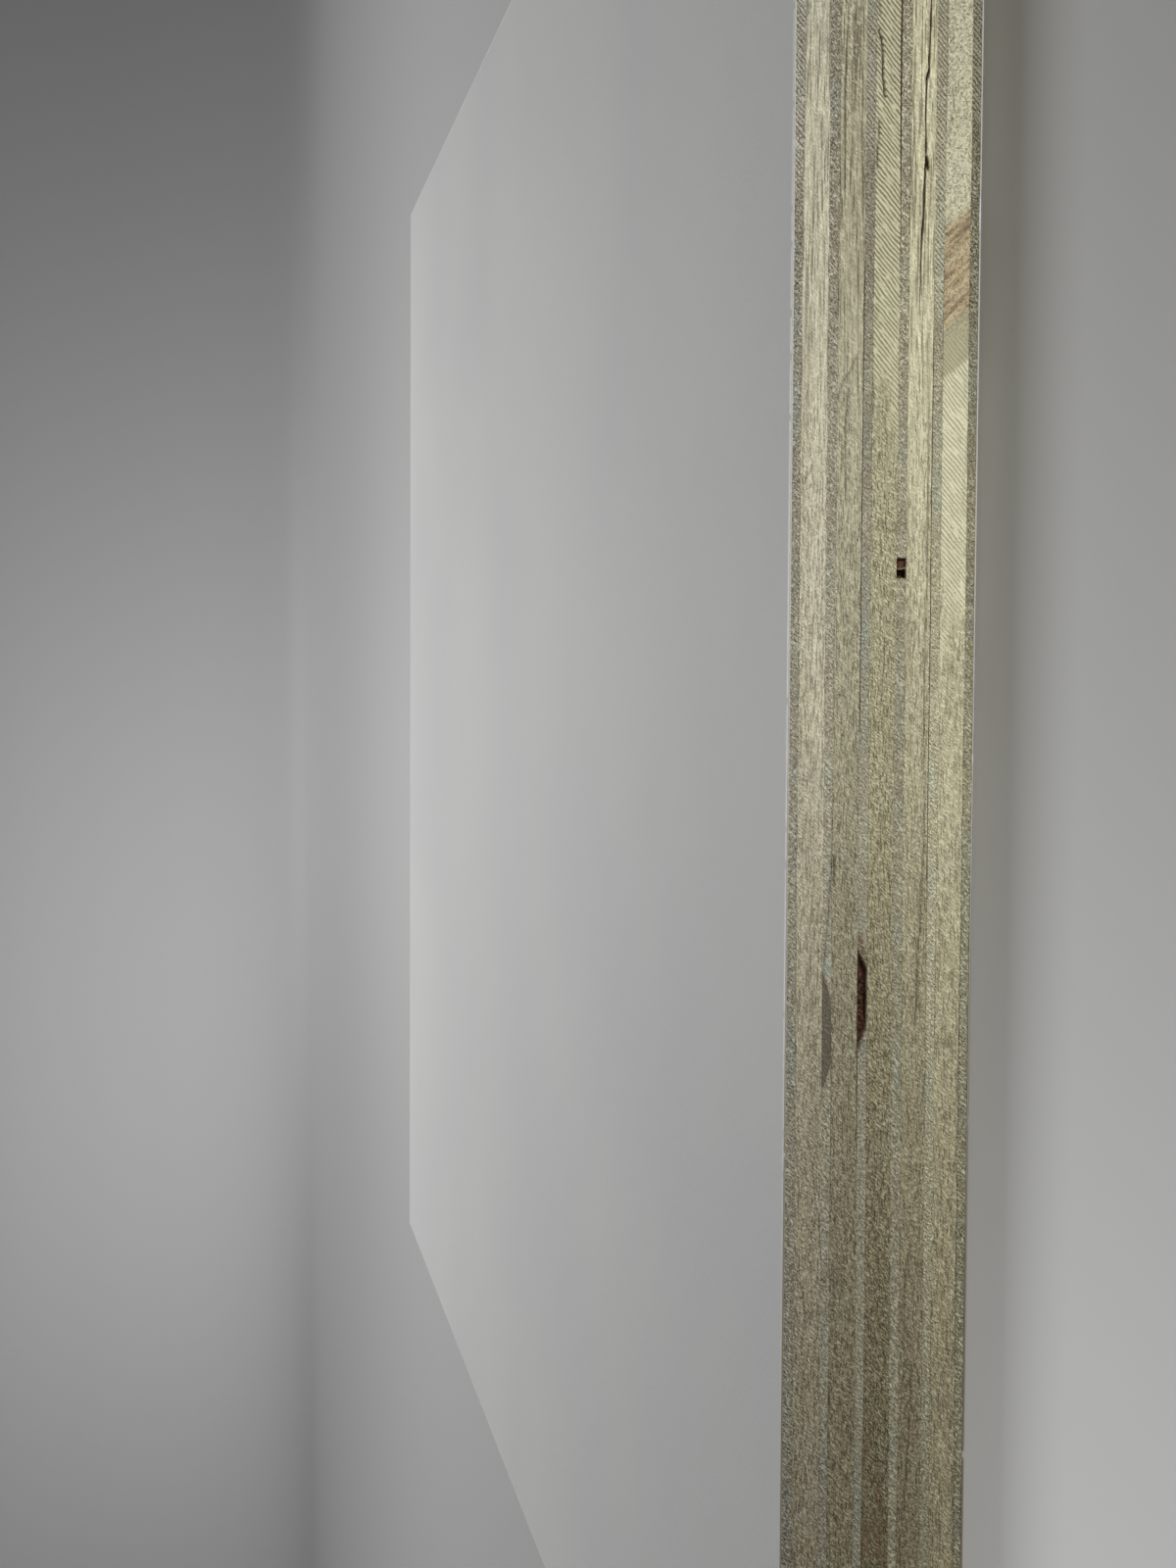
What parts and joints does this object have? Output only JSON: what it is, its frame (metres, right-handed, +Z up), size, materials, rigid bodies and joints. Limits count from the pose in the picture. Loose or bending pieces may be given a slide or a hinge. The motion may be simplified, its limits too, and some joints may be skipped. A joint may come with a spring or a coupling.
{
  "type": "plywood panel",
  "caption": "Flat rectangular panel of cross-laid veneers, sawn square, with a thin white film on both faces and bare edges.",
  "frame": {"origin": "middle of the bottom face", "axes": "+X along the front edge, +Y from the front edge to the back edge, +Z up through the thickness"},
  "size_m": [0.26, 0.36, 0.0183],
  "materials": {
    "white_film": "satin",
    "face_veneer": "matte",
    "crossband": "matte",
    "core_veneer": "matte"
  },
  "bodies": {
    "root": {"film_face": "white_film", "face_veneer": "face_veneer", "crossband_1": "crossband", "core_veneer_1": "core_veneer", "crossband_2": "crossband", "core_veneer_2": "core_veneer", "crossband_3": "crossband", "core_veneer_3": "core_veneer", "crossband_4": "crossband", "core_veneer_4": "core_veneer", "crossband_5": "crossband", "back_veneer": "face_veneer", "film_back": "white_film"}
  },
  "joints": []
}
